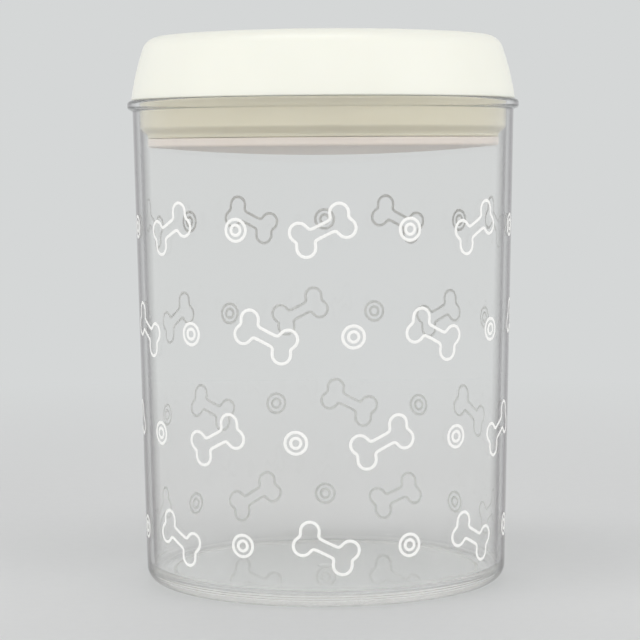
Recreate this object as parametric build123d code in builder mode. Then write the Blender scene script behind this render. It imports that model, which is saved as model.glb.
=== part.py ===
from build123d import *
import math
import os

os.makedirs("parts", exist_ok=True)

# Clear jar, in millimetres, standing on the table at height zero
jar_height = 140.2
base_radius = 52.6
mouth_radius = 55.5
wall = 1.9
floor_thickness = 2.8
base_corner = 4.5
inside_corner = 3.0
foot_recess = 0.8
foot_width = 4.0
rim_reach = 1.5
rim_thickness = 2.8
rim_round = 1.2
rim_fillet = 0.3
rim_land = 0.08
mouth_lead_in = 0.9

# Lid cap
seat_gap = 0.1
cap_height = 19.9
cap_overhang = 0.35
cap_side_lean = 4.65
cap_shoulder_drop = 1.9
cap_shoulder_round = 5.0
cap_side_bulge = 0.53
cap_wall = 2.2
cap_skirt = 2.85
cap_edge_round = 0.4
inner_wall = 1.8

# Flip handle, lying flush in the cap's top
handle_half_width = 28.5
arm_width = 8.0
handle_front_margin = 13.2
grip_width = 10.0
handle_corner = 12.0
handle_inner_corner = 5.0
handle_depth = 7.6
handle_gap = 0.8
pivot_depth = 6.2
handle_edge_round = 0.5
handle_under_round = 1.5

# Cam: how far the follower lies below the pivot, and how far a full flip lets the plate down
follower_drop = 4.5
plate_travel = 3.0
flip_angle = 90.0
track_steps = 8
tip_step = 1.0
track_depth = 4.0
cam_wall = 1.4
cam_clearance = 0.15

# Steel pins
pin_radius = 1.5
running_clearance = 0.05
press_clearance = 0.02
pin_chamfer = 0.3
pin_end_gap = 0.6

# Finger scoop behind and under the grip bar
scoop_half_width = 14.0
scoop_floor_depth = 13.0
scoop_flat_length = 7.0
scoop_back = 7.0
scoop_round = 3.0
recess_edge_round = 0.5
seam_margin = 0.01

# Inner frame that closes the cap
lid_base_thickness = 2.4
lid_base_rise = 0.2
fit_clearance = 0.15
collar_wall = 2.0
collar_depth = 6.2
guide_wall = 2.35
guide_rise = 0.5
guide_depth = 4.3
frame_rib_height = 2.0
rib_thickness = 1.4
rib_count = 8

# Flexible seal
seal_clearance = 0.25
seal_thickness = 1.85
seal_top_gap = 0.1
seal_contact_height = 7.6
seal_collar_gap = 0.1
seal_lip_thickness = 1.2
seal_lip_width = 2.9
seal_rib_height = 1.4
seal_rib_depth = 1.0
seal_rib_drop = 2.0
seal_inner_drop = 5.8

# Pressure plate: a ribbed carrier over a smooth cover
plate_gap = 2.2
plate_band = 2.4
plate_drop = 11.0
plate_crown = 2.5
plate_edge_round = 0.9
cover_floor = 1.5
cover_edge_floor = 1.0
cover_wall = 3.2
carrier_thickness = 1.8
carrier_margin = 2.0
bead_clearance = 0.1
carrier_plug_wall = 1.8
carrier_rib_height = 1.2
carrier_boss_radius = 7.0
carrier_boss_height = 2.6

# Lift yoke
post_radius = 4.0
yoke_side_gap = 0.6
yoke_head_radius = 2.35
yoke_web = 3.2
yoke_eye_length = 5.0
yoke_hub_radius = 5.0

# Screws
cap_screw_angle = 29.0
cap_screw_margin = 2.5
cap_screw_radius = 1.25
cap_screw_length = 8.0
cap_screw_head_radius = 2.6
cap_screw_head_height = 1.7
boss_radius = 3.4
boss_rib_thickness = 1.2
screw_hole_clearance = 0.3
yoke_screw_radius = 1.25
yoke_screw_length = 9.0
yoke_screw_head_radius = 2.6
yoke_screw_head_height = 1.7
washer_radius = 4.0
washer_thickness = 0.6
recess_width = 0.7
recess_share = 0.6
pilot_spare = 1.0

# Return spring round the guide tube
spring_wire = 1.0
spring_turns = 3.5
spring_guide_gap = 1.3
spring_seat_gap = 0.1
arcs_per_turn = 4

rim_underside = jar_height - rim_thickness


def wall_radius(height):
    """Outside radius of the jar's tapering wall."""
    return base_radius + (mouth_radius - base_radius) * height / rim_underside


def bore_radius(height):
    """Inside radius of the jar's tapering wall."""
    return wall_radius(height) - wall


def seal_radius(height):
    """Outside radius of the seal where it follows the inside of the wall."""
    return bore_radius(height) - seal_clearance


# Heights and radii that follow from the sizes above
rim_radius = mouth_radius + rim_reach
rim_nose = min(rim_round, rim_thickness / 2 - rim_land, rim_reach - rim_fillet - rim_land)
inside_floor = foot_recess + floor_thickness

cap_bottom = jar_height + seat_gap
cap_top = cap_bottom + cap_height
cap_base_radius = mouth_radius + cap_overhang
cap_shoulder_radius = cap_base_radius - cap_side_lean
cap_bore = cap_base_radius - cap_skirt
shoulder_height = cap_top - cap_shoulder_drop

handle_reach = cap_shoulder_radius - handle_front_margin
pivot_height = cap_top - pivot_depth
follower_height = pivot_height - follower_drop
handle_underside = cap_top - handle_depth
trench_floor = handle_underside - handle_gap
hub_radius = pivot_depth
trench_back = hub_radius + handle_gap
arm_inside = handle_half_width - arm_width
ear_inside = arm_inside - handle_gap
ear_outside = handle_half_width + handle_gap
yoke_half_length = ear_inside - inner_wall - yoke_side_gap
track_half_width = pin_radius + cam_clearance
lobe_half_width = track_half_width + cam_wall
cam_reach = follower_drop + plate_travel + lobe_half_width
pocket_back = cam_reach + handle_gap
pocket_top = pivot_height + lobe_half_width + handle_gap
scoop_floor = cap_top - scoop_floor_depth
scoop_flat_back = handle_reach - grip_width - scoop_flat_length

frame_bottom = cap_bottom + lid_base_rise
frame_top = frame_bottom + lid_base_thickness
frame_radius = cap_bore - fit_clearance
collar_bottom = frame_bottom - collar_depth
guide_bore = post_radius + running_clearance
guide_radius = guide_bore + guide_wall
ear_bottom = frame_top + handle_gap

seal_top = cap_bottom - seal_top_gap
seal_bend = jar_height - seal_contact_height
seal_inside = seal_radius(seal_bend) - seal_thickness
collar_radius = seal_inside - seal_collar_gap
seal_rib_top = frame_bottom - seal_rib_drop
seal_rib_bottom = seal_rib_top - seal_rib_height

band_top = jar_height - plate_drop
band_bottom = band_top - plate_band
plate_underside = band_bottom - plate_crown
plate_radius = bore_radius(band_bottom) - plate_gap
cover_bore = plate_radius - cover_wall
lip_bottom = band_top + bead_clearance
lip_top = lip_bottom + seal_lip_thickness
carrier_bottom = lip_top + bead_clearance
carrier_top = carrier_bottom + carrier_thickness
carrier_radius = plate_radius - carrier_margin
plug_radius = cover_bore - bead_clearance
plug_bottom = band_bottom + cover_edge_floor + fit_clearance
yoke_foot = carrier_top

screw_circle = collar_radius - collar_wall - boss_radius - cap_screw_margin
cap_screw_spacing_x = 2 * screw_circle * math.cos(math.radians(cap_screw_angle))
cap_screw_spacing_y = 2 * screw_circle * math.sin(math.radians(cap_screw_angle))

rib_start = guide_radius + spring_guide_gap + spring_wire + handle_gap
spring_radius = guide_radius + spring_guide_gap + spring_wire / 2
spring_bottom = carrier_top + spring_seat_gap + spring_wire / 2
spring_top = frame_bottom - spring_seat_gap - spring_wire / 2


def round_corner(radius, *points):
    """Rounds the corners of the open sketch that lie nearest the given points."""
    for point in points:
        fillet(vertices().sort_by_distance(point)[0], radius)


def dome_section(inset, foot_radius, foot_height):
    """Half of the cap's dome, moved in by an inset: a bulging side, a round shoulder and a low crown."""
    shoulder = (cap_shoulder_radius - inset, shoulder_height - inset)
    top = (0, cap_top - inset)
    with BuildSketch(Plane.XZ) as section:
        with BuildLine():
            side = SagittaArc((foot_radius, foot_height), shoulder, -cap_side_bulge)
            TangentArc(top, side @ 1, tangent=(1, 0))
            Polyline(top, (0, foot_height), (foot_radius, foot_height))
        make_face()
        round_corner(cap_shoulder_round - inset, shoulder)
    return section.sketch


def crown_edges(part):
    """Edges where the part's crown breaks off, without the shoulder and the turned crown's own seam."""
    crown = part.faces().filter_by(GeomType.SPHERE).sort_by(Axis.Z)[-1]
    return [edge for edge in crown.edges() if not edge.is_closed and abs(edge.center().Y) > seam_margin]


def stirrup_plan(height, grow, back):
    """The handle's loop from above, grown all round, its arms ending at a distance behind the pivot."""
    front = -handle_reach - grow
    bar_back = -handle_reach + grip_width + grow
    outside = handle_half_width + grow
    inside = arm_inside - grow
    with BuildSketch(Plane.XY.offset(height)) as plan:
        Polygon(
            (-outside, back),
            (-outside, front),
            (outside, front),
            (outside, back),
            (inside, back),
            (inside, bar_back),
            (-inside, bar_back),
            (-inside, back),
            align=None,
        )
        round_corner(handle_corner + grow, (-outside, front), (outside, front))
        round_corner(handle_inner_corner - grow, (-inside, bar_back), (inside, bar_back))
    return plan.sketch


def cam_point(turn, shift):
    """A point of the cam track at a turn in degrees, moved out square to the track."""
    angle = math.radians(turn)
    growth = plate_travel / math.radians(flip_angle)
    reach = follower_drop + growth * angle
    along_y = growth * math.sin(angle) + reach * math.cos(angle)
    along_z = reach * math.sin(angle) - growth * math.cos(angle)
    length = math.hypot(along_y, along_z)
    y = reach * math.sin(angle) + shift * along_z / length
    z = -reach * math.cos(angle) - shift * along_y / length
    return (y, pivot_height + z)


def cam_tip(turn, half_width, direction):
    """The far point of the round end of the cam track."""
    before = Vector(*cam_point(turn - tip_step, 0))
    after = Vector(*cam_point(turn + tip_step, 0))
    tip = Vector(*cam_point(turn, 0)) + (after - before).normalized() * (half_width * direction)
    return (tip.X, tip.Y)


def cam_face(half_width):
    """The spiral track from the sealed to the open position, of a given half width, with round ends."""
    steps = [flip_angle * step / track_steps for step in range(track_steps + 1)]
    outer = [cam_point(turn, half_width) for turn in steps]
    inner = [cam_point(turn, -half_width) for turn in reversed(steps)]
    with BuildSketch() as track:
        with BuildLine():
            Spline(*outer)
            ThreePointArc(outer[-1], cam_tip(flip_angle, half_width, 1), inner[0])
            Spline(*inner)
            ThreePointArc(inner[-1], cam_tip(0, half_width, -1), outer[0])
        make_face()
    return track.sketch


def scoop_form(grow):
    """The finger scoop as a solid: flat under the grip bar, then curving up to the crown behind it."""
    low = scoop_floor - grow
    high = cap_top + grow
    front = -handle_reach - handle_gap - grow
    back = -scoop_back + grow
    with BuildPart() as form:
        with BuildSketch(Plane.YZ):
            with BuildLine():
                Polyline((back, high), (front, high), (front, low), (-scoop_flat_back, low))
                TangentArc((-scoop_flat_back, low), (back, high), tangent=(1, 0))
            make_face()
        extrude(amount=scoop_half_width + grow, both=True)
        side_edges = form.faces().filter_by(Axis.X).edges().group_by(Axis.Z)[:-1]
        front_edge = form.edges().filter_by(Axis.X).group_by(Axis.Z)[0].sort_by(Axis.Y)[0]
        fillet([edge for group in side_edges for edge in group] + [front_edge], scoop_round + grow)
    return form.part


def screw(radius, length, head_radius, head_height):
    """A pan-head screw pointing up, its head's bearing face at height zero."""
    with BuildPart() as one:
        with BuildSketch(Plane.XZ):
            Polygon(
                (0, -head_height),
                (head_radius, -head_height),
                (head_radius, 0),
                (radius, 0),
                (radius, length - radius),
                (0, length),
                align=None,
            )
            round_corner(head_height / 2, (head_radius, -head_height))
        revolve(axis=Axis.Z)
        with BuildSketch(Plane.XY.offset(-head_height)):
            Rectangle(2 * head_radius * recess_share, recess_width)
            Rectangle(recess_width, 2 * head_radius * recess_share)
        extrude(amount=head_height * recess_share, mode=Mode.SUBTRACT)
    return one.part


def spring_point(turn):
    """Centre of the spring's wire after a number of turns, and the way the wire runs there."""
    angle = 2 * math.pi * turn
    rise = (spring_top - spring_bottom) / spring_turns
    place = Vector(
        spring_radius * math.cos(angle), spring_radius * math.sin(angle), spring_bottom + rise * turn
    )
    around = 2 * math.pi * spring_radius
    way = Vector(-around * math.sin(angle), around * math.cos(angle), rise)
    return place, way.normalized()


def biarc_joint(start, start_way, end, end_way):
    """The point where two equal-handled arcs meet smoothly between two points with given directions."""
    chord = end - start
    spread = 2 * (1 - start_way.dot(end_way))
    pull = chord.dot(start_way + end_way)
    handle = (math.sqrt(pull**2 + spread * chord.dot(chord)) - pull) / spread
    return (start + start_way * handle + end - end_way * handle) * 0.5


# Jar: a turned wall with a rolled rim, standing on a foot ring
with BuildPart() as jar_body:
    foot_inside = base_radius - base_corner - foot_width
    with BuildSketch(Plane.XZ):
        Polygon(
            (0, foot_recess),
            (foot_inside, foot_recess),
            (foot_inside + foot_recess, 0),
            (base_radius, 0),
            (mouth_radius, rim_underside),
            (rim_radius, rim_underside),
            (rim_radius, jar_height),
            (bore_radius(jar_height), jar_height),
            (bore_radius(inside_floor), inside_floor),
            (0, inside_floor),
            align=None,
        )
        round_corner(base_corner, (base_radius, 0))
        round_corner(inside_corner, (bore_radius(inside_floor), inside_floor))
        round_corner(rim_fillet, (mouth_radius, rim_underside))
        round_corner(rim_nose, (rim_radius, rim_underside), (rim_radius, jar_height))
        round_corner(mouth_lead_in, (bore_radius(jar_height), jar_height))
    revolve(axis=Axis.Z)

# Outside form of the cap, which also trims the handle flush with the crown
with BuildPart() as cap_form:
    add(dome_section(0, cap_base_radius, cap_bottom))
    revolve(axis=Axis.Z)
    fillet(edges().filter_by(GeomType.CIRCLE).sort_by(Axis.Z)[0], cap_edge_round)

# Walls inside the cap: the handle's trench, the scoop's tub, the pivot ears and the ribbed screw bosses
with BuildPart() as cap_inside:
    add(stirrup_plan(trench_floor - inner_wall, handle_gap + inner_wall, trench_back + inner_wall))
    extrude(amount=cap_top - trench_floor + inner_wall)
    add(scoop_form(inner_wall))
    for ear_start in (-ear_outside - inner_wall, -ear_inside, ear_inside - inner_wall, ear_outside):
        with BuildSketch(Plane.YZ.offset(ear_start)):
            with Locations((0, (ear_bottom + cap_top) / 2)):
                Rectangle(2 * pocket_back, cap_top - ear_bottom)
        extrude(amount=inner_wall)
    with BuildSketch(Plane.XY.offset(frame_top)):
        with GridLocations(cap_screw_spacing_x, cap_screw_spacing_y, 2, 2):
            Circle(boss_radius)
    extrude(amount=cap_height)
    with BuildSketch(Plane.XY.offset(ear_bottom)):
        for turn in (cap_screw_angle, -cap_screw_angle):
            with Locations(Location((0, 0), turn)):
                Rectangle(2 * cap_base_radius, boss_rib_thickness)
        Circle(screw_circle, mode=Mode.SUBTRACT)
    extrude(amount=cap_height)
    add(dome_section(cap_wall / 2, cap_bore, cap_bottom))
    revolve(axis=Axis.Z, mode=Mode.INTERSECT)

# Cap: a hollow dome with the handle's recess let into its top
with BuildPart() as lid_cap:
    add(cap_form.part)
    add(dome_section(cap_wall, cap_bore, frame_top + fit_clearance))
    revolve(axis=Axis.Z, mode=Mode.SUBTRACT)
    with BuildSketch(Plane.XY.offset(cap_bottom)):
        Circle(cap_bore)
    extrude(amount=frame_top + fit_clearance - cap_bottom, mode=Mode.SUBTRACT)
    add(cap_inside.part)
    add(stirrup_plan(trench_floor, handle_gap, trench_back))
    extrude(amount=cap_top - trench_floor, mode=Mode.SUBTRACT)
    add(scoop_form(0), mode=Mode.SUBTRACT)
    fillet(crown_edges(lid_cap), recess_edge_round)
    with BuildSketch(Plane.XY.offset(cap_bottom)):
        with GridLocations(ear_inside + ear_outside, 0, 2, 1):
            Rectangle(ear_outside - ear_inside, 2 * pocket_back)
    extrude(amount=pocket_top - cap_bottom, mode=Mode.SUBTRACT)
    with BuildSketch(Plane.YZ):
        with Locations((0, pivot_height)):
            Circle(pin_radius + press_clearance)
    extrude(amount=ear_outside + inner_wall, both=True, mode=Mode.SUBTRACT)
    with BuildSketch(Plane.YZ):
        with Locations((0, follower_height)):
            Circle(track_half_width)
        with Locations((0, (follower_height + cap_bottom) / 2)):
            Rectangle(2 * track_half_width, follower_height - cap_bottom)
    extrude(amount=ear_inside, both=True, mode=Mode.SUBTRACT)
    with BuildSketch(Plane.XY.offset(frame_top)):
        with GridLocations(cap_screw_spacing_x, cap_screw_spacing_y, 2, 2):
            Circle(cap_screw_radius + press_clearance)
    extrude(amount=cap_screw_length - lid_base_thickness + pilot_spare, mode=Mode.SUBTRACT)

# Flip handle: a stirrup whose two hubs carry the cam tracks
with BuildPart() as flip_handle:
    add(stirrup_plan(handle_underside, 0, 0))
    extrude(amount=handle_depth)
    under_edges = edges().group_by(Axis.Z)[0].group_by(Axis.Y)[:-1]
    fillet([edge for group in under_edges for edge in group], handle_under_round)
    add(cap_form.part, mode=Mode.INTERSECT)
    top_edges = [edge for edge in crown_edges(flip_handle) if edge.center().Y < -seam_margin]
    fillet(top_edges, handle_edge_round)
    for hub_start in (-handle_half_width, arm_inside):
        with BuildSketch(Plane.YZ.offset(hub_start)):
            with Locations((0, pivot_height)):
                Circle(hub_radius)
            add(cam_face(lobe_half_width))
        extrude(amount=arm_width)
    add(cap_form.part, mode=Mode.INTERSECT)
    for track_start in (-arm_inside - track_depth, arm_inside):
        with BuildSketch(Plane.YZ.offset(track_start)):
            add(cam_face(track_half_width))
        extrude(amount=track_depth, mode=Mode.SUBTRACT)
    with BuildSketch(Plane.YZ):
        with Locations((0, pivot_height)):
            Circle(pin_radius + running_clearance)
    extrude(amount=handle_half_width, both=True, mode=Mode.SUBTRACT)

# Pivot pin through the ears and hubs
with BuildPart() as pivot_pin:
    with BuildSketch(Plane.YZ):
        with Locations((0, pivot_height)):
            Circle(pin_radius)
    extrude(amount=ear_outside + inner_wall, both=True)
    chamfer(edges().filter_by(GeomType.CIRCLE), pin_chamfer)

# Follower pin across the yoke's head, its ends in the cam tracks
with BuildPart() as follower_pin:
    with BuildSketch(Plane.YZ):
        with Locations((0, follower_height)):
            Circle(pin_radius)
    extrude(amount=arm_inside + track_depth - pin_end_gap, both=True)
    chamfer(edges().filter_by(GeomType.CIRCLE), pin_chamfer)

# Lift yoke: a bar with an eye at each end, on a round post
with BuildPart() as lift_yoke:
    with BuildSketch(Plane.YZ):
        with Locations((0, follower_height)):
            Rectangle(yoke_web, 2 * yoke_head_radius)
    extrude(amount=yoke_half_length, both=True)
    for eye_start in (-yoke_half_length, yoke_half_length - yoke_eye_length):
        with BuildSketch(Plane.YZ.offset(eye_start)):
            with Locations((0, follower_height)):
                Circle(yoke_head_radius + press_clearance)
        extrude(amount=yoke_eye_length)
    with BuildSketch(Plane.XY.offset(follower_height - yoke_head_radius)):
        Circle(yoke_hub_radius)
    extrude(amount=2 * yoke_head_radius)
    with BuildSketch(Plane.XY.offset(yoke_foot)):
        Circle(post_radius)
    extrude(amount=follower_height - yoke_foot)
    with BuildSketch(Plane.YZ):
        with Locations((0, follower_height)):
            Circle(pin_radius + press_clearance)
    extrude(amount=yoke_half_length, both=True, mode=Mode.SUBTRACT)
    with BuildSketch(Plane.XY.offset(yoke_foot)):
        Circle(yoke_screw_radius + press_clearance)
    extrude(amount=yoke_screw_length - carrier_thickness + pilot_spare, mode=Mode.SUBTRACT)

# Inner frame: a ribbed disc with the seal's collar and the yoke's guide tube
with BuildPart() as lid_base:
    with BuildSketch(Plane.XY.offset(frame_bottom)):
        Circle(frame_radius)
    extrude(amount=lid_base_thickness)
    with BuildSketch(Plane.XY.offset(collar_bottom)):
        Circle(collar_radius)
        Circle(collar_radius - collar_wall, mode=Mode.SUBTRACT)
    extrude(amount=collar_depth)
    with BuildSketch(Plane.XY.offset(frame_bottom - guide_depth)):
        Circle(guide_radius)
    extrude(amount=guide_depth + lid_base_thickness + guide_rise)
    with BuildSketch(Plane.XY.offset(frame_bottom - frame_rib_height)):
        with PolarLocations((rib_start + collar_radius - collar_wall / 2) / 2, rib_count):
            Rectangle(collar_radius - collar_wall / 2 - rib_start, rib_thickness)
    extrude(amount=frame_rib_height)
    with BuildSketch(Plane.XY.offset(frame_bottom - guide_depth)):
        Circle(guide_bore)
        with GridLocations(cap_screw_spacing_x, cap_screw_spacing_y, 2, 2):
            Circle(cap_screw_radius + screw_hole_clearance)
    extrude(amount=guide_depth + lid_base_thickness + guide_rise, mode=Mode.SUBTRACT)
    with BuildSketch(Plane.XY.offset(seal_rib_bottom - bead_clearance)):
        Circle(collar_radius)
        Circle(seal_inside - seal_rib_depth - bead_clearance, mode=Mode.SUBTRACT)
    extrude(amount=seal_rib_height + 2 * bead_clearance, mode=Mode.SUBTRACT)

# Seal: a flexible sleeve that follows the wall, then turns in to the plate in an S
with BuildPart() as seal_ring:
    outside_top = (seal_radius(seal_top), seal_top)
    outside_bend = (seal_radius(seal_bend), seal_bend)
    outside_foot = (plate_radius - bead_clearance, lip_bottom)
    inside_bend = (seal_inside, frame_bottom - seal_inner_drop)
    inside_foot = (outside_foot[0] - seal_lip_thickness, lip_top)
    lip_inside = outside_foot[0] - seal_lip_width
    rib_inside = seal_inside - seal_rib_depth
    with BuildSketch(Plane.XZ):
        with BuildLine():
            outside_middle = (Vector(*outside_bend) + Vector(*outside_foot)) * 0.5
            inside_middle = (Vector(*inside_bend) + Vector(*inside_foot)) * 0.5
            Line(outside_top, outside_bend)
            TangentArc(outside_bend, outside_middle, tangent=(0, -1))
            TangentArc(outside_foot, outside_middle, tangent=(0, 1))
            Polyline(outside_foot, (lip_inside, lip_bottom), (lip_inside, lip_top), inside_foot)
            TangentArc(inside_foot, inside_middle, tangent=(0, 1))
            TangentArc(inside_bend, inside_middle, tangent=(0, -1))
            Polyline(
                inside_bend,
                (seal_inside, seal_rib_bottom),
                (rib_inside, seal_rib_bottom),
                (rib_inside, seal_rib_top),
                (seal_inside, seal_rib_top),
                (seal_inside, seal_top),
                outside_top,
            )
        make_face()
    revolve(axis=Axis.Z)

# Carrier: the ribbed disc that the post lifts, with a plug that the cover fits over
with BuildPart() as plate_carrier:
    with BuildSketch(Plane.XY.offset(carrier_bottom)):
        Circle(carrier_radius)
    extrude(amount=carrier_thickness)
    with BuildSketch(Plane.XY.offset(plug_bottom)):
        Circle(plug_radius)
        Circle(plug_radius - carrier_plug_wall, mode=Mode.SUBTRACT)
    extrude(amount=carrier_bottom - plug_bottom)
    with BuildSketch(Plane.XY.offset(carrier_top)):
        Circle(carrier_boss_radius)
    extrude(amount=carrier_boss_height)
    with BuildSketch(Plane.XY.offset(carrier_top)):
        with PolarLocations((rib_start + plug_radius) / 2, rib_count):
            Rectangle(plug_radius - rib_start, rib_thickness)
    extrude(amount=carrier_rib_height)
    with BuildSketch(Plane.XY.offset(yoke_foot)):
        Circle(post_radius + press_clearance)
    extrude(amount=carrier_boss_height, mode=Mode.SUBTRACT)
    with BuildSketch(Plane.XY.offset(carrier_bottom)):
        Circle(yoke_screw_radius + screw_hole_clearance)
    extrude(amount=carrier_thickness, mode=Mode.SUBTRACT)

# Cover: a shallow cup with a crowned, washable underside
with BuildPart() as plate_cover:
    with BuildSketch(Plane.XZ):
        with BuildLine():
            TangentArc((0, plate_underside), (plate_radius, band_bottom), tangent=(1, 0))
            cup_middle = (0, plate_underside + cover_floor)
            cup_edge = (cover_bore, band_bottom + cover_edge_floor)
            TangentArc(cup_middle, cup_edge, tangent=(1, 0))
            Polyline((plate_radius, band_bottom), (plate_radius, band_top), (cover_bore, band_top), cup_edge)
            Line((0, plate_underside), cup_middle)
        make_face()
        round_corner(plate_edge_round, (plate_radius, band_bottom))
    revolve(axis=Axis.Z)

# Fasteners
with BuildPart() as cap_screws:
    with Locations(Plane.XY.offset(frame_bottom)):
        with GridLocations(cap_screw_spacing_x, cap_screw_spacing_y, 2, 2):
            add(screw(cap_screw_radius, cap_screw_length, cap_screw_head_radius, cap_screw_head_height))

with BuildPart() as yoke_washer:
    with BuildSketch(Plane.XY.offset(carrier_bottom - washer_thickness)):
        Circle(washer_radius)
        Circle(yoke_screw_radius + screw_hole_clearance, mode=Mode.SUBTRACT)
    extrude(amount=washer_thickness)

with BuildPart() as yoke_screw:
    with Locations(Plane.XY.offset(carrier_bottom - washer_thickness)):
        add(screw(yoke_screw_radius, yoke_screw_length, yoke_screw_head_radius, yoke_screw_head_height))

# Return spring: one unbroken wire, each turn made of pairs of arcs that meet smoothly
with BuildPart() as return_spring:
    stops = [step / arcs_per_turn for step in range(int(spring_turns * arcs_per_turn) + 1)]
    with BuildLine() as wire_path:
        for first, last in zip(stops, stops[1:]):
            start, start_way = spring_point(first)
            end, end_way = spring_point(last)
            joint = biarc_joint(start, start_way, end, end_way)
            opening = TangentArc(start, joint, tangent=start_way)
            TangentArc(joint, end, tangent=opening % 1)
    with BuildSketch(Plane(spring_point(0)[0], z_dir=spring_point(0)[1])):
        Circle(spring_wire / 2)
    sweep(path=wire_path.wires()[0])

spring_rise = (spring_top - spring_bottom) / spring_turns
print(f"spring: least gap between turns {spring_rise - spring_wire:.2f} mm")

pieces = {
    "jar_body": jar_body,
    "lid_cap": lid_cap,
    "lid_base": lid_base,
    "seal_ring": seal_ring,
    "plate_carrier": plate_carrier,
    "plate_cover": plate_cover,
    "lift_yoke": lift_yoke,
    "yoke_screw": yoke_screw,
    "yoke_washer": yoke_washer,
    "follower_pin": follower_pin,
    "pivot_pin": pivot_pin,
    "flip_handle": flip_handle,
    "return_spring": return_spring,
    "cap_screws": cap_screws,
}
for label, piece in pieces.items():
    piece.part.label = label
    export_step(piece.part, f"parts/{label}.step")
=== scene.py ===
import math

import bpy
import numpy as np
from mathutils import Matrix, Vector


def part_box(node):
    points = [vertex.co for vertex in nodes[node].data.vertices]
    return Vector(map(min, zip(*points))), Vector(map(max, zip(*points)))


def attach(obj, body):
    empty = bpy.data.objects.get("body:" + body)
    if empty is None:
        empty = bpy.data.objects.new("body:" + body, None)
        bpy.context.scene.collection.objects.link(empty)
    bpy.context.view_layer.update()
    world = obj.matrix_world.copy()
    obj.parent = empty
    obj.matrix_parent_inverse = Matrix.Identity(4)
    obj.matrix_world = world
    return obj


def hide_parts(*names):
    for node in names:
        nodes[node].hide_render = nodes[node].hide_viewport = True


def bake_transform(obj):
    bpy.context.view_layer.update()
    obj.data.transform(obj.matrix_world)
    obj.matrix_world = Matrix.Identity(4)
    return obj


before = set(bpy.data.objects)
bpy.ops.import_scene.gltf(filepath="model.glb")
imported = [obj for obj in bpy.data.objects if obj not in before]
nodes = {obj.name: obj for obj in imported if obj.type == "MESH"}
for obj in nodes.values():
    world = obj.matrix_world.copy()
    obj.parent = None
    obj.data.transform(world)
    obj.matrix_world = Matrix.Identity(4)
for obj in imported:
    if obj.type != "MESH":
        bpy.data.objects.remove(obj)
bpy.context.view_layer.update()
mm = 0.001
print("frame loaded,", len(nodes), "pieces")


# Sizes shared by several pieces, as in the part's own source
jar = dict(
    height=140.2 * mm, baseRadius=52.6 * mm, mouthRadius=55.5 * mm, wall=1.9 * mm, floor=2.8 * mm,
    baseCorner=4.5 * mm, insideCorner=3.0 * mm, footRecess=0.8 * mm, footWidth=4.0 * mm,
    rimReach=1.5 * mm, rimDepth=2.8 * mm, rimNose=1.12 * mm, rimFillet=0.3 * mm, mouthLeadIn=0.9 * mm,
    gateRadius=2.2 * mm, gateDepth=0.35 * mm, gateRound=0.12 * mm, gateFillet=0.2 * mm,
    footFillet=0.4 * mm, footEdge=0.3 * mm, steps=360, fineness=14, hold=0.12 * mm,
)


def wallRadius(height):  # outside of the tapering wall, straight from the base to under the rim
    rise = (jar["mouthRadius"] - jar["baseRadius"]) / (jar["height"] - jar["rimDepth"])
    return jar["baseRadius"] + rise * height


def boreRadius(height):  # inside of the wall
    return wallRadius(height) - jar["wall"]


fewestArcSteps = 3
sharpAngle = 40  # degrees past which an edge stays hard


# Outline through (radius, height, round) corners: each round corner becomes its tangent arc, with more steps
# the larger it is, held by a point a little way off on either side so that flat stretches stay flat.
def roundedOutline(corners, fineness, hold):
    spots = np.array([corner[:2] for corner in corners], float)
    rounds = [corner[2] if len(corner) > 2 else 0 for corner in corners]
    parts = [spots[:1]]
    for i in range(1, len(spots) - 1):
        if not rounds[i]:
            parts.append(spots[i : i + 1])
            continue
        back, ahead = spots[i - 1] - spots[i], spots[i + 1] - spots[i]
        back, ahead = back / np.linalg.norm(back), ahead / np.linalg.norm(ahead)
        half = math.acos(np.clip(back @ ahead, -1, 1)) / 2
        run = rounds[i] / math.tan(half)
        middle = (back + ahead) / np.linalg.norm(back + ahead)
        centre = spots[i] + middle * rounds[i] / math.sin(half)
        arcSteps = math.ceil(fewestArcSteps + fineness * math.sqrt(rounds[i] / mm))
        share = np.linspace(-1, 1, arcSteps + 1)[:, None] * (math.pi / 2 - half)
        side = np.array([-middle[1], middle[0]])
        side = side if side @ ahead > 0 else -side
        arc = centre - middle * rounds[i] * np.cos(share) + side * rounds[i] * np.sin(share)
        parts += [[spots[i] + back * (run + hold)], arc, [spots[i] + ahead * (run + hold)]]
    parts.append(spots[-1:])
    return np.vstack(parts)


# Arc between two points with a given rise at its middle, to the left of the way it runs
def archedLine(start, end, rise, steps):
    start, end = np.array(start, float), np.array(end, float)
    chord = np.linalg.norm(end - start)
    radius = (chord**2 / 4 + rise**2) / (2 * rise)
    ahead = (end - start) / chord
    left = np.array([-ahead[1], ahead[0]])
    centre = (start + end) / 2 + left * (rise - radius)
    reach = math.asin(chord / 2 / radius)
    turn = np.linspace(-reach, reach, steps + 1)[:, None]
    return centre + radius * (ahead * np.sin(turn) + left * np.cos(turn))


def newPiece(name, points, faces):
    mesh = bpy.data.meshes.new(name)
    mesh.from_pydata(points.reshape(-1, 3).tolist(), [], faces)
    mesh.shade_smooth()
    mesh.set_sharp_from_angle(angle=math.radians(sharpAngle))
    mesh.update()
    piece = bpy.data.objects.new(name, mesh)
    bpy.context.scene.collection.objects.link(piece)
    return piece


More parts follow.
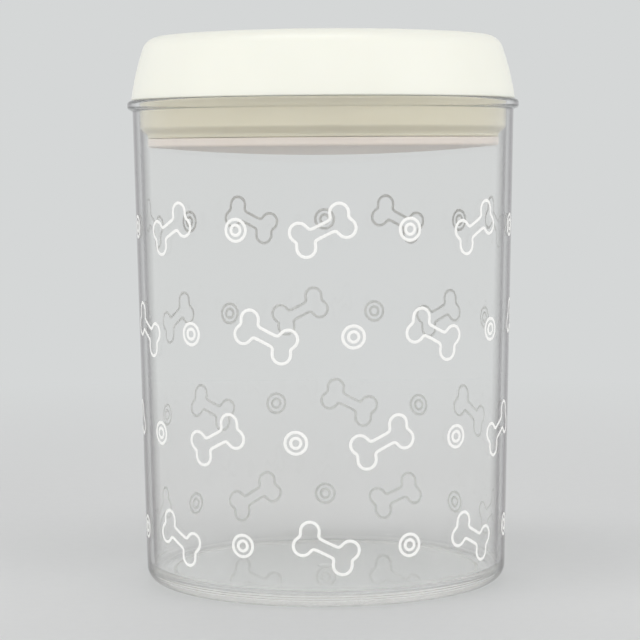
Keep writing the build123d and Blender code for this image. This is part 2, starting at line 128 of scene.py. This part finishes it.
# Surface of revolution: each outline point (radius, height) runs round the Z axis on a circle. The outline
# goes anticlockwise with the radius to the right, so faces point outwards. Ends on the axis become poles.
def turnedPiece(name, outline, steps, ring=False):
    turn = np.linspace(0, 2 * math.pi, steps, endpoint=False)
    circle = np.stack([np.cos(turn), np.sin(turn)], 1)
    body = outline if ring else outline[1:-1]
    points = np.empty((len(body), steps, 3))
    points[..., :2] = body[:, None, :1] * circle
    points[..., 2] = body[:, None, 1]
    around = np.arange(steps)
    after = (around + 1) % steps
    rows = np.arange(len(body) if ring else len(body) - 1)[:, None] * steps
    above = (rows + steps) % (len(body) * steps) if ring else rows + steps
    quads = np.stack([rows + around, rows + after, above + after, above + around], -1).reshape(-1, 4)
    faces = quads.tolist()
    points = points.reshape(-1, 3)
    if not ring:
        low, high = len(points), len(points) + 1
        last = (len(body) - 1) * steps
        points = np.vstack([points, [[0, 0, outline[0, 1]], [0, 0, outline[-1, 1]]]])
        faces += np.stack([np.full(steps, low), after, around], 1).tolist()
        faces += np.stack([last + around, last + after, np.full(steps, high)], 1).tolist()
    return newPiece(name, points, faces)


# Faces of a band of closed sections: section rows joined one to the next, and round each section
def bandFaces(rows, across, closed, first=0):
    row = np.arange(rows if closed else rows - 1)[:, None]
    ahead = (row + 1) % rows
    here = np.arange(across)
    beside = (here + 1) % across
    corners = [row * across + here, row * across + beside, ahead * across + beside, ahead * across + here]
    return np.stack(corners, -1).reshape(-1, 4) + first


# A shader value: + - and * on it add Math nodes
class Value:
    def __init__(self, look, socket):
        self.look = look
        self.socket = socket

    def calc(self, operation, first, second):
        return self.look.add("ShaderNodeMath", {"operation": operation}, {0: first, 1: second})

    def __add__(self, other):
        return self.calc("ADD", self, other)

    def __sub__(self, other):
        return self.calc("SUBTRACT", self, other)

    def __rsub__(self, other):
        return self.calc("SUBTRACT", other, self)

    def __mul__(self, other):
        return self.calc("MULTIPLY", self, other)

    __radd__ = __add__
    __rmul__ = __mul__

    def output(self, name):
        return Value(self.look, self.socket.node.outputs[name])


# A material's node tree; add() makes every node: its type, its settings, then its sockets
class Look:
    def __init__(self, name, owner=None):
        self.owner = owner or bpy.data.materials.new(name)
        self.owner.use_nodes = True
        self.tree = self.owner.node_tree
        self.tree.nodes.clear()

    def add(self, kind, settings=None, sockets=None):
        node = self.tree.nodes.new(kind)
        for name, setting in (settings or {}).items():
            setattr(node, name, setting)
        for name, given in (sockets or {}).items():
            if isinstance(given, Value):
                self.tree.links.new(given.socket, node.inputs[name])
            else:
                node.inputs[name].default_value = given
        return Value(self, next((out for out in node.outputs if out.enabled), None))

    def coordinates(self):
        return self.add("ShaderNodeTexCoord").output("Object")

    def noise(self, scale, detail=3.0, roughness=0.5, stretch=None):
        place = self.coordinates()
        if stretch:
            place = self.add("ShaderNodeMapping", {}, {"Vector": place, "Scale": stretch})
        sockets = {"Vector": place, "Scale": scale, "Detail": detail, "Roughness": roughness}
        return self.add("ShaderNodeTexNoise", {}, sockets)

    def between(self, share, low, high):
        sockets = {"Factor": share, 6: low, 7: high}
        return self.add("ShaderNodeMix", {"data_type": "RGBA"}, sockets).output(2)

    def range(self, share, low, high, fromLow=0.3, fromHigh=0.7):
        sockets = {"Value": share, 1: fromLow, 2: fromHigh, 3: low, 4: high}
        return self.add("ShaderNodeMapRange", {"clamp": True}, sockets)

    def bump(self, height, strength, distance):
        sockets = {"Height": height, "Strength": strength, "Distance": distance}
        return self.add("ShaderNodeBump", {}, sockets)

    def either(self, first, second):  # the larger of two shares
        return self.add("ShaderNodeMath", {"operation": "MAXIMUM"}, {0: first, 1: second})

    def bounced(self, path):  # 1 for light that has already met a matt surface
        return self.add("ShaderNodeMath", {"operation": "MINIMUM"}, {0: path.output("Diffuse Depth"), 1: 1.0})

    def mixed(self, share, first, second):
        return self.add("ShaderNodeMixShader", {}, {0: share, 1: first, 2: second})

    def finish(self, shader, output="ShaderNodeOutputMaterial"):
        self.add(output, {}, {"Surface": shader})
        return self.owner


def srgb(red, green, blue):  # a colour as read off a screen, made linear
    values = [c / 255 for c in (red, green, blue)]
    return tuple(v / 12.92 if v <= 0.04045 else ((v + 0.055) / 1.055) ** 2.4 for v in values) + (1.0,)


def clearPlastic():
    # Water-clear moulded plastic: slow flow waves, fine scuffs low on the wall, a foot worn a little matt, and
    # painted
    # shade: a grey-mauve colour where the eye looks along the upright wall instead of through it. Lamps shine
    # through it.
    look = Look("clear plastic")
    flow = look.noise(22, 2.0, 0.4, (1.0, 1.0, 0.25))
    scuffs = look.noise(900, 4.0, 0.7, (1.0, 1.0, 0.12))
    height = look.add("ShaderNodeSeparateXYZ", {}, {0: look.coordinates()}).output("Z")
    foot = look.range(height, 1.0, 0.0, 1.0 * mm, 4.5 * mm)
    low = look.range(height, 0.75, 0.2, 0.0, 30.0 * mm) + foot * 2.0
    worn = look.range(scuffs, 0.0, 1.0, 0.55, 0.75) * low
    facing = look.add("ShaderNodeLayerWeight", {}, {"Blend": 0.5}).output("Facing")
    normal = look.add("ShaderNodeNewGeometry").output("Normal")
    level = look.add("ShaderNodeSeparateXYZ", {}, {0: normal}).output("Z")
    path = look.add("ShaderNodeLightPath")
    # painted shade: a mask for where the upright wall is seen edge-on, left out for light that has met a matt
    # surface
    paintedEdgeShade = look.range(facing, 0.0, 1.0, 0.67, 0.83) * (1 - level * level) * (1 - look.bounced(path))
    clear = look.between(flow, srgb(253, 253, 252), srgb(254, 254, 254))
    plastic = look.add("ShaderNodeBsdfPrincipled", {}, {
        # painted shade: the wall's colour turns grey-mauve along that mask
        "Base Color": look.between(paintedEdgeShade, clear, srgb(84, 76, 81)),
        "Roughness": look.range(flow, 0.008, 0.022) + worn * 0.05 + foot * 0.1,
        "IOR": 1.5,
        "Transmission Weight": 1.0,
        "Normal": look.bump(flow + scuffs * 0.02, 0.05, 0.15 * mm),
    })
    through = look.add("ShaderNodeBsdfTransparent", {}, {"Color": srgb(252, 253, 253)})
    return look.finish(look.mixed(path.output("Is Shadow Ray"), plastic, through))


def ivoryPlastic():
    # Ivory moulded plastic: a fine-grained satin skin with slight mottling and softly polished high spots.
    look = Look("ivory plastic")
    mottle = look.noise(35, 3.0)
    grain = look.noise(2600, 2.0, 0.6)
    smudge = look.noise(90, 4.0, 0.6)
    plastic = look.add("ShaderNodeBsdfPrincipled", {}, {
        "Base Color": look.between(mottle, srgb(241, 241, 229), srgb(246, 246, 236)),
        "Roughness": look.range(smudge, 0.27, 0.36) + grain * 0.04,
        "IOR": 1.49,
        "Subsurface Weight": 0.15,
        "Subsurface Radius": (1.0, 0.9, 0.75),
        "Subsurface Scale": 0.004,
        "Normal": look.bump(grain + mottle * 0.6, 0.1, 0.05 * mm),
    })
    return look.finish(plastic)


def sealRubber():
    # Warm cream elastomer, matt, with a dusty bloom and faint lines from its mould.
    look = Look("seal rubber")
    bloom = look.noise(60, 4.0, 0.6)
    grain = look.noise(3000, 2.0)
    lines = look.noise(240, 2.0, 0.5, (0.1, 0.1, 6.0))
    rubber = look.add("ShaderNodeBsdfPrincipled", {}, {
        "Base Color": look.between(bloom, srgb(228, 221, 199), srgb(238, 231, 210)),
        "Roughness": look.range(bloom, 0.5, 0.62),
        "IOR": 1.42,
        "Subsurface Weight": 0.25,
        "Subsurface Radius": (1.0, 0.9, 0.75),
        "Subsurface Scale": 0.003,
        "Normal": look.bump(grain + lines * 0.5, 0.12, 0.06 * mm),
    })
    return look.finish(rubber)


def coverPlastic():
    # The pressure plate's washable cover: smooth warm-white plastic with rings left by its turned mould.
    look = Look("cover plastic")
    mottle = look.noise(45, 3.0)
    rings = look.add("ShaderNodeTexWave", {"wave_type": "RINGS", "rings_direction": "Z"}, {
        "Vector": look.coordinates(), "Scale": 900.0, "Distortion": 0.4, "Detail": 1.0,
    }).output("Fac")
    plastic = look.add("ShaderNodeBsdfPrincipled", {}, {
        "Base Color": look.between(mottle, srgb(245, 232, 222), srgb(250, 239, 231)),
        "Roughness": look.range(mottle, 0.3, 0.4),
        "IOR": 1.49,
        "Subsurface Weight": 0.15,
        "Subsurface Radius": (1.0, 0.9, 0.75),
        "Subsurface Scale": 0.003,
        "Normal": look.bump(rings, 0.05, 0.02 * mm),
    })
    return look.finish(plastic)


def framePlastic():
    # Inner parts: natural, slightly milky plastic with a coarser mould texture.
    look = Look("frame plastic")
    mottle = look.noise(70, 4.0, 0.55)
    grain = look.noise(1500, 3.0, 0.6)
    plastic = look.add("ShaderNodeBsdfPrincipled", {}, {
        "Base Color": look.between(mottle, srgb(226, 225, 216), srgb(237, 236, 229)),
        "Roughness": look.range(grain, 0.38, 0.52),
        "IOR": 1.49,
        "Subsurface Weight": 0.2,
        "Subsurface Radius": (1.0, 0.9, 0.75),
        "Subsurface Scale": 0.003,
        "Normal": look.bump(grain, 0.14, 0.05 * mm),
    })
    return look.finish(plastic)


def brightSteel():
    # Drawn steel wire and turned pins: long fine scratches, duller where they crowd.
    look = Look("bright steel")
    drawn = look.noise(700, 4.0, 0.6, (0.08, 1.0, 1.0))
    tone = look.noise(120, 3.0)
    steel = look.add("ShaderNodeBsdfPrincipled", {}, {
        "Base Color": look.between(tone, srgb(196, 197, 199), srgb(214, 214, 212)),
        "Metallic": 1.0,
        "Roughness": look.range(drawn, 0.2, 0.36),
        "Normal": look.bump(drawn, 0.1, 0.02 * mm),
    })
    return look.finish(steel)


def whiteInk():
    # Screen-printed white ink: satin, slightly uneven in thickness, with a fine pebble from the mesh.
    look = Look("white ink")
    cover = look.noise(160, 3.0)
    pebble = look.noise(4200, 2.0)
    ink = look.add("ShaderNodeBsdfPrincipled", {}, {
        "Base Color": look.between(cover, srgb(240, 240, 238), srgb(252, 252, 250)),
        "Roughness": look.range(cover, 0.38, 0.5),
        "IOR": 1.5,
        "Normal": look.bump(pebble, 0.15, 0.02 * mm),
    })
    return look.finish(ink)


finishes = dict(
    clear=clearPlastic(), ivory=ivoryPlastic(), seal=sealRubber(), cover=coverPlastic(),
    frame=framePlastic(), steel=brightSteel(), ink=whiteInk(),
)


def wear(piece, finish):
    piece.data.materials.clear()
    piece.data.materials.append(finishes[finish])


for name, finish in dict(
    jar_body="clear", lid_cap="ivory", flip_handle="ivory", lid_base="frame", seal_ring="seal",
    plate_carrier="frame", plate_cover="cover", lift_yoke="frame", follower_pin="steel", pivot_pin="steel",
    return_spring="steel", cap_screws="steel", yoke_screw="steel", yoke_washer="steel",
).items():
    for slot in nodes[name].material_slots:
        slot.material = finishes[finish]
print("finishes made")


# Jar: turned in one piece, foot ring, tapering wall and rolled rim, with the moulding gate under its floor
def makeJar():
    rimUnder = jar["height"] - jar["rimDepth"]
    rimRadius = jar["mouthRadius"] + jar["rimReach"]
    inside = jar["footRecess"] + jar["floor"]
    footInside = jar["baseRadius"] - jar["baseCorner"] - jar["footWidth"]
    gateFloor = jar["footRecess"] - jar["gateDepth"]
    outline = roundedOutline([
        (0, gateFloor),
        (jar["gateRadius"], gateFloor, jar["gateRound"]),
        (jar["gateRadius"] + jar["gateDepth"], jar["footRecess"], jar["gateFillet"]),
        (footInside, jar["footRecess"], jar["footFillet"]),
        (footInside + jar["footRecess"], 0, jar["footEdge"]),
        (jar["baseRadius"], 0, jar["baseCorner"]),
        (jar["mouthRadius"], rimUnder, jar["rimFillet"]),
        (rimRadius, rimUnder, jar["rimNose"]),
        (rimRadius, jar["height"], jar["rimNose"]),
        (boreRadius(jar["height"]), jar["height"], jar["mouthLeadIn"]),
        (boreRadius(inside), inside, jar["insideCorner"]),
        (0, inside),
    ], jar["fineness"], jar["hold"])
    piece = turnedPiece("clear_jar", outline, jar["steps"])
    wear(piece, "clear")
    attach(piece, "jar")
    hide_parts("jar_body")


makeJar()
print("jar turned")


# Print: bones and double rings in white line, in rows that wind round the wall
wallPrint = dict(
    rows=4, firstRow=17.0 * mm, rowPitch=29.0 * mm, columns=7, rowTwist=17.0, tilt=26.0,
    line=0.85 * mm, gap=0.02 * mm, thickness=0.05 * mm,
    boneReach=6.1 * mm, lobeSpread=2.3 * mm, lobeRadius=2.7 * mm, shaftHalf=1.6 * mm,
    outerRing=3.0 * mm, innerRing=1.4 * mm, lineSection=(-0.5, -0.38, 0.38, 0.5),
    lobePoints=40, bonePoints=128, boneSoftness=6, ringPoints=40,
)


# Even steps along a closed run of points, then rounded off by averaging each with its neighbours
def evenLoop(points, count, softness):
    closed = np.vstack([points, points[:1]])
    length = np.concatenate([[0], np.cumsum(np.linalg.norm(np.diff(closed, axis=0), axis=1))])
    place = np.linspace(0, length[-1], count, endpoint=False)
    loop = np.stack([np.interp(place, length, closed[:, axis]) for axis in (0, 1)], 1)
    for step in range(softness):
        loop = 0.5 * loop + 0.25 * (np.roll(loop, 1, 0) + np.roll(loop, -1, 0))
    return loop


# Bone: a straight shaft edge, then the arc of one round lobe to the notch on the middle line, mirrored twice
def boneLoop(p):
    rise = p["lobeSpread"] - p["shaftHalf"]
    start = math.pi + math.asin(rise / p["lobeRadius"])
    notch = -math.asin(p["lobeSpread"] / p["lobeRadius"])
    turn = np.linspace(start, notch, p["lobePoints"])
    lobe = np.stack([
        p["boneReach"] + p["lobeRadius"] * np.cos(turn), p["lobeSpread"] + p["lobeRadius"] * np.sin(turn)
    ], 1)
    quarter = np.vstack([[[0, p["shaftHalf"]]], lobe])
    right = np.vstack([quarter, (quarter * [1, -1])[::-1]])
    return evenLoop(np.vstack([right, -right]), p["bonePoints"], p["boneSoftness"])


def ringLoop(radius, count):  # a circle
    turn = np.linspace(0, -2 * math.pi, count, endpoint=False)
    return radius * np.stack([np.cos(turn), np.sin(turn)], 1)


# Ink line along a loop on the unrolled wall: four corners across the line, lifted off the wall, rolled up
# again so that a distance along becomes an angle and a height finds the wall's own radius.
def inkBand(loop, place, tilt, p):
    lean = math.radians(tilt)
    turned = loop @ np.array([[math.cos(lean), math.sin(lean)], [-math.sin(lean), math.cos(lean)]])
    ahead = np.roll(turned, -1, 0) - np.roll(turned, 1, 0)
    ahead /= np.linalg.norm(ahead, axis=1)[:, None]
    side = np.stack([-ahead[:, 1], ahead[:, 0]], 1)
    offsets = np.array(p["lineSection"]) * p["line"]
    lifts = np.array([0, 1, 1, 0]) * p["thickness"] + p["gap"]
    flat = turned[:, None] + side[:, None] * offsets[:, None]
    angle, height = place
    level = height + flat[..., 1]
    radius = wallRadius(level)
    around = math.radians(angle) + flat[..., 0] / radius
    reach = radius + lifts
    return np.stack([reach * np.sin(around), -reach * np.cos(around), level], -1)


# Each row is turned on from the one below, and every second row's bones lean the other way
def makePrint(p):
    bone = boneLoop(p)
    rings = [ringLoop(p[size], p["ringPoints"]) for size in ("outerRing", "innerRing")]
    pitch = 360 / p["columns"]
    bands = []
    for row in range(p["rows"]):
        height = p["firstRow"] + row * p["rowPitch"]
        tilt = p["tilt"] if row % 2 else -p["tilt"]
        for column in range(p["columns"]):
            angle = column * pitch + row * p["rowTwist"]
            bands.append(inkBand(bone, (angle, height), tilt, p))
            bands += [inkBand(ring, (angle + pitch / 2, height), 0, p) for ring in rings]
    starts = np.cumsum([0] + [band.shape[0] * band.shape[1] for band in bands[:-1]])
    faces = [bandFaces(len(band), 4, True, start) for band, start in zip(bands, starts)]
    points = np.vstack([band.reshape(-1, 3) for band in bands])
    piece = newPiece("wall_print", points, np.vstack(faces).tolist())
    wear(piece, "ink")
    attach(piece, "jar")


makePrint(wallPrint)
print("print laid on the wall")


# Seal: a sleeve that follows the wall, turns in to the plate on a cosine step, and hooks over it
sealSleeve = dict(
    top=140.2 * mm, bend=132.6 * mm, lipTop=130.5 * mm, lipBottom=129.3 * mm, clearance=0.25 * mm,
    thickness=1.85 * mm, lipReach=51.078 * mm, lipWidth=2.9 * mm, lipWall=1.2 * mm, innerBend=134.7 * mm,
    ribTop=138.5 * mm, ribBottom=137.1 * mm, ribDepth=1.0 * mm, lipRise=0.6 * mm,
    insideRound=0.2 * mm, lipRound=0.25 * mm, topRound=0.3 * mm, steps=256, sweepSteps=18, backSteps=14,
    fineness=5, hold=0.03 * mm,
)


def cosineStep(start, end, steps):  # radius eases from start to end while the height runs evenly
    share = np.linspace(0, 1, steps + 1)
    ease = 0.5 - 0.5 * np.cos(math.pi * share)
    radius = start[0] + (end[0] - start[0]) * ease
    return np.stack([radius, start[1] + (end[1] - start[1]) * share], 1)


def makeSeal(p):
    outside = boreRadius(p["bend"]) - p["clearance"]
    outsideTop = boreRadius(p["top"]) - p["clearance"]
    inside = outside - p["thickness"]
    lipInside = p["lipReach"] - p["lipWidth"]
    lipEnd = (p["lipReach"], p["lipBottom"] + p["lipRise"])
    foot = roundedOutline([
        (lipInside, p["lipTop"]),
        (lipInside, p["lipBottom"], p["insideRound"]),
        (p["lipReach"], p["lipBottom"], p["lipRound"]),
        lipEnd,
    ], p["fineness"], p["hold"])
    sweep = cosineStep(lipEnd, (outside, p["bend"]), p["sweepSteps"])
    top = roundedOutline([
        (outside, p["bend"]),
        (outsideTop, p["top"], p["topRound"]),
        (inside, p["top"], p["topRound"]),
        (inside, p["ribTop"], p["insideRound"]),
        (inside - p["ribDepth"], p["ribTop"], p["topRound"]),
        (inside - p["ribDepth"], p["ribBottom"], p["topRound"]),
        (inside, p["ribBottom"], p["insideRound"]),
        (inside, p["innerBend"]),
    ], p["fineness"], p["hold"])
    back = cosineStep((inside, p["innerBend"]), (p["lipReach"] - p["lipWall"], p["lipTop"]), p["backSteps"])
    outline = np.vstack([foot[:-1], sweep, top[1:-1], back])
    piece = turnedPiece("seal_sleeve", outline, p["steps"], ring=True)
    wear(piece, "seal")
    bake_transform(piece)
    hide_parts("seal_ring")


makeSeal(sealSleeve)
print("seal shaped")


# Pressure plate's cover: a shallow cup, turned from an outline whose underside and floor are low arcs
plateCover = dict(
    radius=51.178 * mm, bandTop=129.2 * mm, bandBottom=126.8 * mm, crown=2.5 * mm, bore=47.978 * mm,
    floor=1.5 * mm, edgeFloor=1.0 * mm, edgeRound=0.85 * mm, edgeRun=0.95 * mm, topRound=0.3 * mm,
    floorRun=2.0 * mm, floorDip=0.12 * mm, arcSteps=48, steps=256, fineness=8, hold=0.04 * mm,
)


def halfArch(reach, height, sag, steps):  # from the axis, where it hangs by the sag, out to the reach
    arch = archedLine((-reach, height), (reach, height), -sag, steps)[steps // 2 :]
    arch[0, 0] = 0
    return arch


def makeCover(p):
    drop = 2 * p["crown"] / p["radius"] * p["edgeRun"]
    under = halfArch(p["radius"] - p["edgeRun"], p["bandBottom"] - drop, p["crown"] - drop, p["arcSteps"])
    edgeHeight = p["bandBottom"] + p["edgeFloor"]
    floorEdge = (p["bore"] - p["floorRun"], edgeHeight - p["floorDip"])
    rim = roundedOutline([
        tuple(under[-1]),
        (p["radius"], p["bandBottom"], p["edgeRound"]),
        (p["radius"], p["bandTop"], p["topRound"]),
        (p["bore"], p["bandTop"], p["topRound"]),
        (p["bore"], edgeHeight, p["topRound"]),
        floorEdge,
    ], p["fineness"], p["hold"])
    floorSag = p["crown"] - p["floor"] + p["edgeFloor"] - p["floorDip"]
    floor = halfArch(*floorEdge, floorSag, p["arcSteps"])[::-1]
    outline = np.vstack([under, rim[1:], floor[1:]])
    piece = turnedPiece("plate_cover_shell", outline, p["steps"])
    wear(piece, "cover")
    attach(piece, "plate")
    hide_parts("plate_cover")


makeCover(plateCover)
print("plate cover shaped")


# Return spring: a round wire on a helix, its section turned with the wire
returnSpring = dict(wire=1.0 * mm, turns=3.5, stepsPerTurn=64, wireSteps=20)


def makeSpring(p):
    low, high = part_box("return_spring")
    radius = high.x - p["wire"] / 2
    bottom, top = low.z + p["wire"] / 2, high.z - p["wire"] / 2
    turn = np.linspace(0, 2 * math.pi * p["turns"], int(p["turns"] * p["stepsPerTurn"]) + 1)
    climb = (top - bottom) / (2 * math.pi * p["turns"])
    outwards = np.stack([np.cos(turn), np.sin(turn), np.zeros_like(turn)], 1)
    centre = outwards * radius
    centre[:, 2] = bottom + climb * turn
    ahead = np.stack([-radius * np.sin(turn), radius * np.cos(turn), np.full_like(turn, climb)], 1)
    ahead /= np.linalg.norm(ahead, axis=1)[:, None]
    upwards = np.cross(outwards, ahead)
    phase = np.linspace(0, 2 * math.pi, p["wireSteps"], endpoint=False)[:, None]
    section = np.cos(phase) * outwards[:, None] + np.sin(phase) * upwards[:, None]
    points = centre[:, None] + section * p["wire"] / 2
    count = p["wireSteps"]
    faces = bandFaces(len(turn), count, False).tolist()
    faces += [list(range(count))[::-1], list(range(len(turn) * count - count, len(turn) * count))]
    piece = newPiece("spring_wire", points, faces)
    wear(piece, "steel")
    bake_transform(piece)
    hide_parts("return_spring")


makeSpring(returnSpring)
print("spring wound")


# Studio: a pale floor that fades into the backdrop's colour, air that is paler overhead, soft lamps
studio = dict(
    backdrop=(213, 215, 215), floor=(221, 222, 222), fibreTone=2, bounce=(235, 235, 233), drop=0.08 * mm,
    floorRings=(0.0005, 0.2, 0.5, 1.5, 6.0), floorSteps=96, shadowReach=0.22, fadeReach=0.6,
    worldLight=0.36, overhead=(240, 240, 238), paleFrom=0.15, paleTo=0.6,
)


# Floor: flat rings round the Z axis
def makeStage(p):
    look = Look("floor paper")
    place = look.coordinates()
    distance = look.add("ShaderNodeVectorMath", {"operation": "LENGTH"}, {0: place}).output("Value")
    fibre = look.noise(260, 4.0, 0.6)
    tones = [srgb(*[c + change for c in p["floor"]]) for change in (-p["fibreTone"], p["fibreTone"])]
    paper = look.add("ShaderNodeBsdfPrincipled", {}, {
        "Base Color": look.between(fibre, *tones),
        "Roughness": 0.9,
        "Normal": look.bump(fibre, 0.05, 0.1 * mm),
    })
    plain = look.add("ShaderNodeEmission", {}, {"Color": srgb(*p["backdrop"]), "Strength": 1.0})
    path = look.add("ShaderNodeLightPath")
    seen = look.either(path.output("Is Camera Ray"), path.output("Is Transmission Ray"))
    seen = look.either(seen, path.output("Is Glossy Ray"))
    far = look.range(distance, 0.0, 1.0, p["shadowReach"], p["fadeReach"])
    turn = np.linspace(0, 2 * math.pi, p["floorSteps"], endpoint=False)
    rings = np.array(p["floorRings"])
    points = np.zeros((len(rings), len(turn), 3))
    points[..., 0] = rings[:, None] * np.cos(turn)
    points[..., 1] = rings[:, None] * np.sin(turn)
    points[..., 2] = -p["drop"]
    around = np.arange(len(turn))
    after = (around + 1) % len(turn)
    rows = np.arange(len(rings) - 1)[:, None] * len(turn)
    quads = [rows + around, rows + len(turn) + around, rows + len(turn) + after, rows + after]
    floor = newPiece("floor", points, np.stack(quads, -1).reshape(-1, 4).tolist())
    shown = look.mixed(far * seen, paper, plain)
    # light that the table throws up under the lid: an even white, which no camera ray sees
    bounce = look.add("ShaderNodeEmission", {}, {"Color": srgb(*p["bounce"]), "Strength": 1.0})
    floor.data.materials.append(look.finish(look.mixed(look.bounced(path), shown, bounce)))
    floor.data.materials[0].cycles.emission_sampling = "NONE"


def makeWorld(p):
    world = bpy.data.worlds.new("studio air")
    bpy.context.scene.world = world
    look = Look("studio air", world)
    path = look.add("ShaderNodeLightPath")
    direction = look.add("ShaderNodeSeparateXYZ", {}, {0: look.add("ShaderNodeTexCoord").output("Generated")})
    upwards = look.range(direction.output("Z"), 0.0, 1.0, p["paleFrom"], p["paleTo"])
    shade = look.between(upwards, srgb(*p["backdrop"]), srgb(*p["overhead"]))
    straight = look.add("ShaderNodeBackground", {}, {"Color": srgb(*p["backdrop"]), "Strength": 1.0})
    bent = look.add("ShaderNodeBackground", {}, {"Color": shade, "Strength": 1.0})
    air = look.add("ShaderNodeBackground", {}, {"Color": (1, 1, 1, 1), "Strength": p["worldLight"]})
    shiny = look.either(path.output("Is Glossy Ray"), path.output("Is Transmission Ray"))
    around = look.mixed(path.output("Is Camera Ray"), look.mixed(shiny, air, bent), straight)
    look.finish(around, "ShaderNodeOutputWorld")


lampAim = (0, 0, 0.08)
lamps = dict(
    left=dict(place=(-1.0, -0.56, 0.42), size=(1.0, 0.8), watts=5.9, mirrored=False),
    right=dict(place=(1.0, -0.54, 0.45), size=(1.0, 0.8), watts=6.1, mirrored=False),
    top=dict(place=(-0.1, -0.4, 1.25), size=(1.3, 0.35), watts=3.4),
    low=dict(place=(0.0, -0.95, 0.1), size=(1.4, 0.16), watts=0.5, mirrored=False),
    back=dict(place=(0.1, 1.05, 0.7), size=(1.3, 0.9), watts=4.0, mirrored=False),
)


def makeLamps():
    for name, p in lamps.items():
        light = bpy.data.lights.new(name, "AREA")
        light.shape = "RECTANGLE"
        light.size, light.size_y = p["size"]
        light.energy = p["watts"]
        lamp = bpy.data.objects.new(name, light)
        lamp.location = p["place"]
        aim = Vector(lampAim) - lamp.location
        lamp.rotation_euler = aim.to_track_quat("-Z", "Y").to_euler()
        lamp.visible_camera = False
        lamp.visible_glossy = lamp.visible_transmission = p.get("mirrored", True)
        bpy.context.scene.collection.objects.link(lamp)


# Camera: where the photograph was taken from, just above the plate's height and a touch off level
view = dict(place=(-1.29 * mm, -690.9 * mm, 125.2 * mm), down=0.0713, roll=0.0068, lens=132.57, near=0.02)


def makeCamera(p):
    data = bpy.data.cameras.new("camera")
    data.lens = p["lens"]
    data.clip_start = p["near"]
    camera = bpy.data.objects.new("camera", data)
    turn = Matrix.Rotation(math.pi / 2 - p["down"], 4, "X") @ Matrix.Rotation(-p["roll"], 4, "Z")
    camera.matrix_world = Matrix.Translation(p["place"]) @ turn
    bpy.context.scene.collection.objects.link(camera)
    bpy.context.scene.camera = camera


makeStage(studio)
makeWorld(studio)
makeLamps()
makeCamera(view)
bpy.context.scene.view_settings.view_transform = "Standard"
# light runs down the clear wall in many small reflections, and turns black where they are cut short
wallBounces = 64
cycles = bpy.context.scene.cycles
cycles.max_bounces = cycles.transmission_bounces = cycles.glossy_bounces = wallBounces
print("studio set")

bpy.context.view_layer.update()
